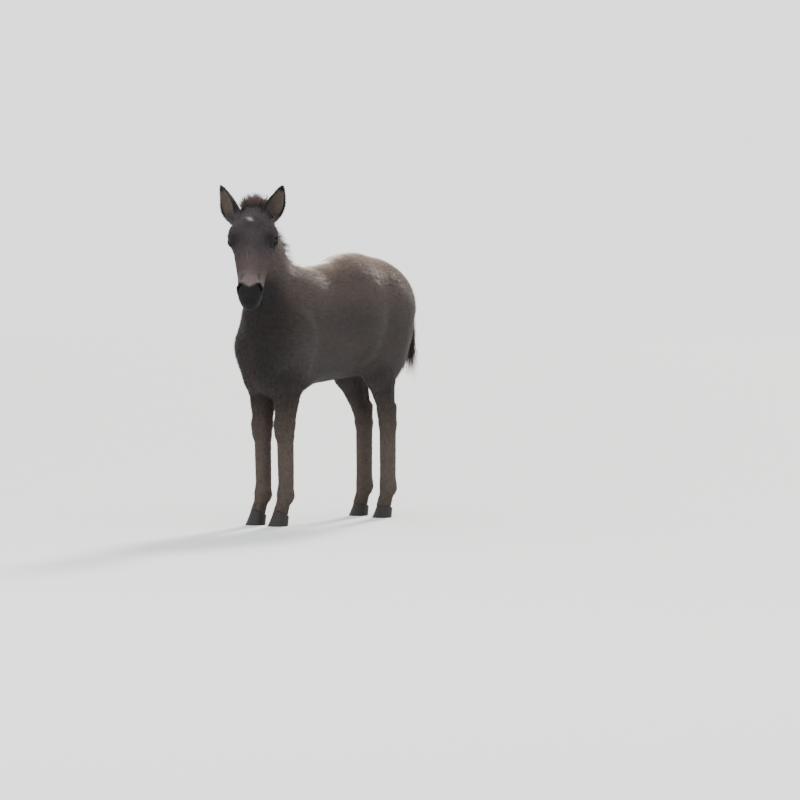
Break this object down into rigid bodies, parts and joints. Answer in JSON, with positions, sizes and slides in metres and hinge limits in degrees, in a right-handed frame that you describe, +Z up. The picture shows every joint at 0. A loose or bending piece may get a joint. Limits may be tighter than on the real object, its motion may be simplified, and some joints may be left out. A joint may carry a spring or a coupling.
{
  "type": "icelandic foal, standing life-size model",
  "caption": "Life-size standing foal of an Icelandic horse, head turned slightly to its left, short upright mane, hanging tail, standing on four flat hooves.",
  "frame": {"origin": "on the floor, under the middle of the model's box", "axes": "the foal faces -Y, its left side is +X, +Z is up"},
  "size_m": [0.3884, 1.2408, 1.3487],
  "materials": {
    "coat": "short dense foal coat, black-brown with paler tips",
    "leg_coat": "short leg coat, grey-brown",
    "mane": "soft curly hair",
    "hoof": "dull dark horn",
    "eye": "wet, glossy, near black"
  },
  "bodies": {
    "root": {"torso": "coat", "neck": "coat", "head": "coat", "ear_left": "coat", "ear_right": "coat", "eye_left": "eye", "eye_right": "eye", "foreleg_left": "leg_coat", "forehoof_left": "hoof", "hindleg_left": "leg_coat", "hindhoof_left": "hoof", "foreleg_right": "leg_coat", "forehoof_right": "hoof", "hindleg_right": "leg_coat", "hindhoof_right": "hoof", "tail": "mane"}
  },
  "joints": []
}
